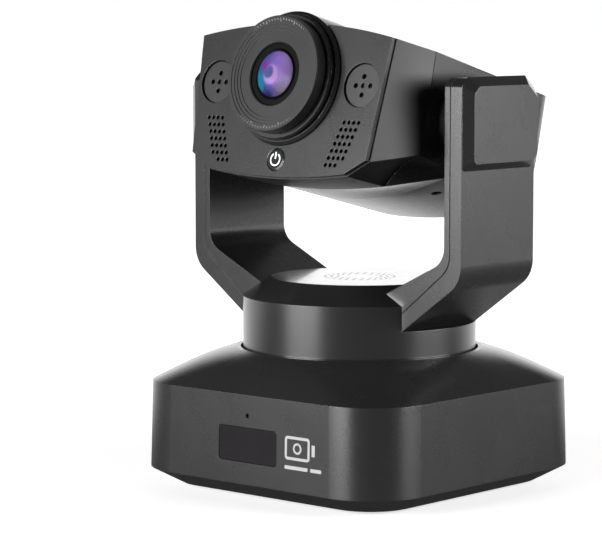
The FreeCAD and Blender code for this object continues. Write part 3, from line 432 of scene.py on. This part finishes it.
# %% Clear front element
front_finish = Finish("front_glass", IOR=1.1, Specular_IOR_Level=0.0, Transmission_Weight=1.0, Roughness=0.0)
violet_cast = front_finish.blend(front_finish.noise(40.0), (0.86, 0.82, 1.0, 1), (0.8, 0.84, 1.0, 1))
front_finish.set("Base Color", violet_cast)
_, along_lens, _ = front_finish.axes(front_finish.seen_from(lens_middle, head_turn))
# The outer face glows with the painted reflection colours.
on_outer_face = along_lens < OUTER_FACE_Y
painted_reflection_glow = front_finish.blend(on_outer_face, NO_LIGHT, painted_reflection_colours(front_finish))
front_finish.set("Emission Color", painted_reflection_glow)
front_finish.shader.inputs["Emission Strength"].default_value = 0.75
dress(front_finish, "front_glass")

# %% Dark inner elements
inner_reflection_finish = Finish("inner_glass_painted_reflection", IOR=1.5, Specular_IOR_Level=0.08,
              Coat_Weight=0.02, Coat_Roughness=0.03, Roughness=0.3)
# Base colour and glow both carry the painted reflection, at 0.15 of its strength.
colours = inner_reflection_finish.blend(0.85, painted_reflection_colours(inner_reflection_finish), NO_LIGHT)
inner_reflection_finish.set("Base Color", colours)
inner_reflection_finish.set("Emission Color", colours)
inner_reflection_finish.shader.inputs["Emission Strength"].default_value = 0.5
dress(inner_reflection_finish, "inner_glass")

# %% [markdown]
# ## The remaining finishes

# %% Smoked window, light pipe and button plastic
smoked = Finish("smoked_window", IOR=1.4, Coat_Weight=0.15, Coat_Roughness=0.03, Specular_IOR_Level=0.35)
smoke = smoked.noise(90.0)
smoked.set("Base Color", smoked.blend(smoke, (0.012, 0.011, 0.012, 1), (0.018, 0.017, 0.018, 1)))
smoked.set("Roughness", 0.1 + smoke * 0.05)
smoked.bump(smoke, 0.00001, smoked.soft_edge(0.0003))
dress(smoked, "ir_window")

pipe = Finish("light_pipe", IOR=1.49, Roughness=0.2, Coat_Weight=0.6)
pipe.set("Base Color", pipe.blend(pipe.noise(500.0), (0.012, 0.014, 0.02, 1), (0.03, 0.035, 0.05, 1)))
dress(pipe, "status_light_pipe")

gloss_black = moulded("gloss_black", 0.012, 0.16, grain=0.000002, sheen=1.0)
dress(gloss_black, "power_button")
mic_grey = moulded("mic_grey", 0.018, 0.32)
dress(mic_grey, "mic_caps")
black_parts = moulded("black_parts", 0.012, 0.4, sheen=0.0)
dress(black_parts, "dc_jack", "microphones")

# %% Rubber, brass, steel and nylon
rubber = Finish("rubber", IOR=1.45)
scuff = rubber.noise(300.0, 4.0)
rubber.set("Base Color", rubber.blend(scuff, rgb(0.012), rgb(0.03)))
rubber.set("Roughness", 0.75 + scuff * 0.2)
rubber.bump(rubber.noise(1500.0), 0.00005, rubber.soft_edge(0.0004))
dress(rubber, "rubber_feet")


def metal(name, colour, roughness, stretch=(1, 1, 12)):
    """Bare or plated metal, lightly brushed and a little stained."""
    finish = Finish(name, Metallic=1.0)
    brushed = finish.noise(900.0, 3.0, stretch=stretch)
    stain = finish.noise(45.0)
    dull = tuple(c * 0.75 for c in colour[:3]) + (1.0,)
    finish.set("Base Color", finish.blend(stain, dull, colour))
    finish.set("Roughness", roughness + brushed * 0.14)
    finish.bump(brushed, 0.000006, finish.soft_edge(0.00015))
    return finish


dress(metal("brass", (0.78, 0.56, 0.24, 1), 0.24), "tripod_insert", "pan_pinion", "tilt_pinion")
dress(metal("zinc_steel", (0.56, 0.57, 0.58, 1), 0.26), "yoke_frame", "pan_spindle", "spindle_clip",
      "pan_motor_shaft", "tilt_motor_shaft", "right_trunnion", "left_trunnion", "usb_port", "pan_motor",
      "tilt_motor")
dress(metal("black_steel", (0.09, 0.09, 0.095, 1), 0.32), "board_screws", "tray_screws", "pan_motor_screws",
      "floor_screws", "arm_screws", "head_screws", "tilt_motor_screws")
nylon = moulded("nylon", 0.62, 0.42, grain=0.00001, sheen=0.0)
dress(nylon, "pan_gear", "tilt_gear", "pan_bush", "head_bushes")

# %% Circuit boards
board = Finish("circuit_board", IOR=1.5, Coat_Weight=0.8, Coat_Roughness=0.15, Roughness=0.4)
cells = board.node("ShaderNodeTexVoronoi", {"feature": "DISTANCE_TO_EDGE", "distance": "EUCLIDEAN"},
                   {"Vector": board.place(), "Scale": 260.0}, output="Distance")
tracks = cells < 0.06
board.set("Base Color", board.blend(tracks, (0.01, 0.09, 0.045, 1), (0.03, 0.2, 0.1, 1)))
board.bump(tracks, 0.00002)
dress(board, "main_board", "ir_receiver", "sensor_board", "button_switch")
silicon = Finish("silicon", Metallic=0.8, Roughness=0.15)
silicon.set("Base Color", silicon.blend(silicon.noise(700.0), (0.1, 0.08, 0.22, 1), (0.05, 0.16, 0.2, 1)))
dress(silicon, "image_sensor")

# %% [markdown]
# ## The power mark
#
# The button shows the usual power sign, a broken ring with a stroke in its gap, lit from behind. It starts
# as a circle of edges. The edges in the gap are deleted, the rest are extruded outwards into a flat band,
# and Solidify gives the band its thickness. The stroke is a small plane that is stretched upwards.

# %% Helpers for modelling with operators
def begin():
    """Leaves nothing selected before a new piece."""
    bpy.ops.object.select_all(action="DESELECT")


def select_where(obj, test, kind="VERT"):
    """In edit mode, selects just the vertices, edges or faces whose centre passes the test."""
    bpy.ops.mesh.select_mode(type=kind)
    bpy.ops.mesh.select_all(action="DESELECT")
    bpy.ops.object.mode_set(mode="OBJECT")
    mesh = obj.data
    for vertex in mesh.vertices:
        vertex.select = kind == "VERT" and test(vertex.co)
    if kind != "VERT":
        items = mesh.edges if kind == "EDGE" else mesh.polygons
        for item in items:
            middle = sum((mesh.vertices[i].co for i in item.vertices), Vector()) / len(item.vertices)
            item.select = test(middle)
    bpy.ops.object.mode_set(mode="EDIT")


def settle(obj, place=None):
    """Applies modifiers, moves the mesh to its place and leaves the object at the origin."""
    for modifier in list(obj.modifiers):
        bpy.ops.object.modifier_apply(modifier=modifier.name)
    if place is not None:
        obj.matrix_world = place @ obj.matrix_world
    bpy.ops.object.transform_apply(location=True, rotation=True, scale=True)


def on_head(u, v, s):
    """Where something stands on the tilted head: across, back and up from the tilt axis."""
    return Matrix.Translation(TILT_AXIS) @ head_turn.to_matrix().to_4x4() @ Matrix.Translation((u, v, s))


FACING_OUT = Matrix.Rotation(math.radians(90), 4, "X")

# %% Model the power mark
def flat_band(radius, share, gap, segments=72):
    """A flat ring in the XY plane, left in edit mode.

    Its outer radius is share times the inner one. The gap is half the angle, in degrees, that is open at
    its top.
    """
    begin()
    bpy.ops.mesh.primitive_circle_add(vertices=segments, radius=radius, fill_type="NOTHING")
    obj = bpy.context.object
    bpy.ops.object.mode_set(mode="EDIT")
    if gap:
        select_where(obj, lambda p: p.y > 0 and abs(math.atan2(p.x, p.y)) < math.radians(gap))
        bpy.ops.mesh.delete(type="VERT")
    bpy.ops.mesh.select_all(action="SELECT")
    bpy.ops.mesh.extrude_region_move()
    bpy.ops.transform.resize(value=(share, share, 1))
    return obj


def thicken(obj, name, thickness):
    """Leaves edit mode, closes the doubles and gives the flat mesh a body."""
    bpy.ops.mesh.select_all(action="SELECT")
    bpy.ops.mesh.remove_doubles(threshold=0.000001)
    bpy.ops.mesh.normals_make_consistent(inside=False)
    bpy.ops.object.mode_set(mode="OBJECT")
    obj.name = name
    body = obj.modifiers.new("thickness", "SOLIDIFY")
    body.thickness = thickness
    body.offset = 0


BUTTON_RISE = -0.0262
BUTTON_FACE = -0.0460
MARK_RADIUS = 0.0021
STROKE_MIDDLE = (0, 0.0016, 0)
STROKE_WIDTH = 0.00058

mark = flat_band(MARK_RADIUS, 1.25, gap=30)
bpy.ops.mesh.primitive_plane_add(size=STROKE_WIDTH, location=STROKE_MIDDLE)
bpy.ops.transform.resize(value=(1, 4.6, 1), center_override=STROKE_MIDDLE)
thicken(mark, "power_mark", 0.00008)
settle(mark, on_head(0, BUTTON_FACE, BUTTON_RISE) @ FACING_OUT)
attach(mark, "button")
glow = Finish("lit_mark", Roughness=0.3)
lamp_cloud = glow.noise(900.0)
glow.set("Base Color", glow.blend(lamp_cloud, rgb(0.8), rgb(0.9)))
glow.set("Emission Color", glow.blend(lamp_cloud, (0.82, 0.85, 0.9, 1), (0.95, 0.97, 1.0, 1)))
glow.shader.inputs["Emission Strength"].default_value = 0.85
mark.data.materials.append(glow.material)
print("power mark:", len(mark.data.polygons), "faces")

# %% [markdown]
# ## Trim round the button and the drum
#
# A thin glossy bezel frames the button on the face plate. It is a band like the mark's, but closed, raised
# in the middle by a bevel. Between the drum and the base a felt ring keeps dust out of the bearing. It is a
# circle extruded upwards and then inwards, so it is an L in section, and it stands clear of the drum.

# %% Button bezel
BEZEL_RADIUS = 0.0042
BEZEL_BACK = -0.04572

bezel = flat_band(BEZEL_RADIUS, 1.12, gap=0)
thicken(bezel, "button_bezel", 0.0005)
rounded = bezel.modifiers.new("rounded", "BEVEL")
rounded.width = 0.00018
rounded.segments = 3
settle(bezel, on_head(0, BEZEL_BACK, BUTTON_RISE) @ FACING_OUT)
bpy.ops.object.shade_smooth_by_angle(angle=math.radians(40))
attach(bezel, "head")
bezel_finish = moulded("bezel_black", 0.006, 0.18, grain=0.000002, sheen=1.0)
bezel.data.materials.append(bezel_finish.material)

# %% Felt dust ring
FELT_RADIUS = 0.0482
FELT_FOOT = 0.0528
FELT_HEIGHT = 0.0016

begin()
bpy.ops.mesh.primitive_circle_add(vertices=160, radius=FELT_RADIUS, fill_type="NOTHING",
                                  location=(0, 0, FELT_FOOT))
felt = bpy.context.object
bpy.ops.object.mode_set(mode="EDIT")
bpy.ops.mesh.extrude_region_move()
bpy.ops.transform.translate(value=(0, 0, FELT_HEIGHT))
bpy.ops.mesh.extrude_region_move()
bpy.ops.transform.resize(value=(0.9915, 0.9915, 1))
thicken(felt, "dust_ring", 0.0002)
settle(felt)
bpy.ops.object.shade_smooth_by_angle(angle=math.radians(30))
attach(felt, "base")
felt_finish = Finish("felt_black", Sheen_Weight=0.4, Sheen_Roughness=0.5, Roughness=0.95)
fibres = felt_finish.noise(3500.0, 4.0, stretch=(1, 1, 0.4))
felt_finish.set("Base Color", felt_finish.blend(fibres, rgb(0.003), rgb(0.014)))
felt_finish.bump(fibres, 0.00012)
felt.data.materials.append(felt_finish.material)
print("bezel and felt ring:", len(bezel.data.polygons), len(felt.data.polygons), "faces")

# %% [markdown]
# ## The printed pictogram
#
# The front of the base carries white print beside the window. Here it is a plain picture of a camera: a
# rounded block, an opening with a lens in it and a flared end, over two short bars. Print is a film a few
# hundredths of a millimetre thick, so each shape is a plane, shaped flat and then lifted onto the wall, whose
# lean it takes.

# %% Shapes of the pictogram
WALL_FOOT = 0.0076
WALL_FRONT = cad_box[0][1]
WALL_LEAN = math.atan2(0.0007, 0.0354)


def wall_y(z):
    """Where the base's front wall stands at this height."""
    return WALL_FRONT + (z - WALL_FOOT) * math.tan(WALL_LEAN)


def printed_block(x0, x1, y0, y1, corner):
    """A flat rounded block in the XY plane, added to the mesh being edited."""
    middle = ((x0 + x1) / 2, (y0 + y1) / 2, 0)
    bpy.ops.mesh.select_all(action="DESELECT")
    bpy.ops.mesh.primitive_plane_add(size=1, location=middle)
    bpy.ops.transform.resize(value=(x1 - x0, y1 - y0, 1), center_override=middle)
    if corner:
        bpy.ops.mesh.bevel(offset=corner, segments=5, affect="VERTICES")


# %% Print the pictogram
PRINT_X = 0.0292
PRINT_Z = 0.0248
LEFT = -0.0094
BLOCK_RIGHT = 0.0034
BLOCK_HALF = 0.0046
STROKE = 0.0011
FLARE_LEFT = 0.0044
FLARE_NECK = 0.0060
FLARE_RIGHT = 0.0094
FLARE_HALF = 0.0022
LENS_X = -0.003
LENS_RADIUS = 0.0022
BAR_LOW = -0.0083
BAR_TOP = -0.0069
BAR_ENDS = 0.0024
DOT_STARTS = 0.0038

begin()
bpy.ops.mesh.primitive_plane_add(size=0.001, location=(0.0085, 0.0, 0))
pictogram = bpy.context.object
bpy.ops.object.mode_set(mode="EDIT")
bpy.ops.mesh.select_all(action="SELECT")
bpy.ops.mesh.delete(type="VERT")
printed_block(LEFT, BLOCK_RIGHT, -BLOCK_HALF, BLOCK_HALF, 0.0014)
bpy.ops.mesh.inset(thickness=STROKE, depth=0)
bpy.ops.mesh.delete(type="FACE")
printed_block(FLARE_LEFT, FLARE_NECK, -FLARE_HALF, FLARE_HALF, 0)
select_where(pictogram, lambda p: p.x > FLARE_NECK - 0.0002, "EDGE")
bpy.ops.mesh.extrude_region_move(TRANSFORM_OT_translate={"value": (FLARE_RIGHT - FLARE_NECK, 0, 0)})
bpy.ops.transform.resize(value=(1, 1.9, 1), center_override=(FLARE_RIGHT, 0, 0))
bpy.ops.mesh.select_all(action="DESELECT")
bpy.ops.mesh.primitive_circle_add(vertices=40, radius=LENS_RADIUS, fill_type="NGON", location=(LENS_X, 0, 0))
bpy.ops.mesh.inset(thickness=0.0008, depth=0)
bpy.ops.mesh.delete(type="FACE")
printed_block(LEFT, BAR_ENDS, BAR_LOW, BAR_TOP, 0.0004)
printed_block(DOT_STARTS, FLARE_RIGHT, BAR_LOW, BAR_TOP, 0.0004)
thicken(pictogram, "printed_pictogram", 0.00004)
on_wall = Matrix.Translation((PRINT_X, wall_y(PRINT_Z) - 0.00003, PRINT_Z))
settle(pictogram, on_wall @ Matrix.Rotation(-WALL_LEAN, 4, "X") @ FACING_OUT)
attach(pictogram, "base")
print_finish = Finish("white_print", Roughness=0.5)
ink = print_finish.noise(1800.0, 3.0)
print_finish.set("Base Color", print_finish.blend(ink, rgb(0.36), rgb(0.46)))
print_finish.set("Roughness", 0.42 + ink * 0.15)
pictogram.data.materials.append(print_finish.material)
print("pictogram:", len(pictogram.data.polygons), "faces")

# %% [markdown]
# ## The room
#
# Dark glossy plastic shows its room more than its own colour. The room is white to look at, but what the
# object's surfaces mirror is arranged: a bright backdrop low down behind, a dark place in front, dark
# overhead, and a wide soft box on each side. The corner of the base then shows a light band, a dark one and
# a light one again, and surfaces seen at a glance turn pale.
#
# The world's colour depends on the direction that a ray looks in. A Light Path node lets rays straight from
# the camera see plain white. The floor isn't part of the object.

# %% World
world = bpy.data.worlds.new("pale_room")
scene.world = world
world.use_nodes = True
background = world.node_tree.nodes["Background"]
room = Graph(world.node_tree)
look_x, look_y, look_z = room.axes(room.node("ShaderNodeTexCoord", output="Generated"))
behind = look_x * -math.sin(heading) + look_y * math.cos(heading)
sideways = abs(look_x * math.cos(heading) + look_y * math.sin(heading))
near_floor = 1 - room.fade(abs(look_z + 0.02), 0.12, 0.62)
backdrop = room.fade(behind, 0.4, 0.9) * near_floor * 1.6
side_wall = room.fade(sideways, 0.62, 0.95) * near_floor * 0.22
ambient = 0.035
brightness = backdrop + side_wall + ambient
is_camera = room.node("ShaderNodeLightPath", output="Is Camera Ray")
shown = room.node("ShaderNodeMix", {"data_type": "FLOAT"}, {0: is_camera, 2: brightness, 3: 1.0})
world.node_tree.links.new(shown.socket, background.inputs["Strength"])
background.inputs["Color"].default_value = (1, 1, 1, 1)
scene.view_settings.view_transform = "Standard"

# %% Floor
begin()
bpy.ops.mesh.primitive_plane_add(size=12.0, location=(0, 0, 0))
floor = bpy.context.object
floor.name = "floor"
floor_finish = Finish("floor_white", Roughness=0.6, Specular_IOR_Level=0.1)
floor_x, floor_y, _ = floor_finish.axes(floor_finish.place())
back_of_set = floor_x * -math.sin(heading) + floor_y * math.cos(heading)
lit = floor_finish.fade(back_of_set, 0.03, 0.35)
seen = floor_finish.node("ShaderNodeLightPath", output="Is Camera Ray")
mirrored = floor_finish.blend(lit, rgb(0.03), rgb(1.1))
distance = (floor_x * floor_x + floor_y * floor_y) ** 0.5
# Seen from the camera, the floor is painted darker near the object: a painted shadow round the base.
shown = floor_finish.blend(floor_finish.fade(distance, 0.1, 0.6), rgb(0.62), rgb(1.0))
floor_finish.set("Base Color", floor_finish.blend(seen, rgb(0.2), rgb(0.85)))
floor_finish.set("Emission Color", floor_finish.blend(seen, mirrored, shown))
floor_finish.shader.inputs["Emission Strength"].default_value = 1.0
floor.data.materials.append(floor_finish.material)


# %% Soft boxes
def soft_box(name, compass, distance, middle, size, watts):
    """An area light. The compass angle is measured round from -Y towards +X."""
    data = bpy.data.lights.new(name, "AREA")
    data.shape = "RECTANGLE"
    data.size = size[0]
    data.size_y = size[1]
    data.energy = watts
    lamp = bpy.data.objects.new(name, data)
    turn = math.radians(compass)
    lamp.location = (distance * math.sin(turn), -distance * math.cos(turn), middle)
    lamp.rotation_euler = (Vector((0, 0, 0.1)) - lamp.location).to_track_quat("-Z", "Y").to_euler()
    scene.collection.objects.link(lamp)


soft_box("left_box", -16, 1.6, 0.3, (1.0, 0.7), 44)
soft_box("right_box", 114, 1.6, 0.4, (1.15, 0.7), 31)
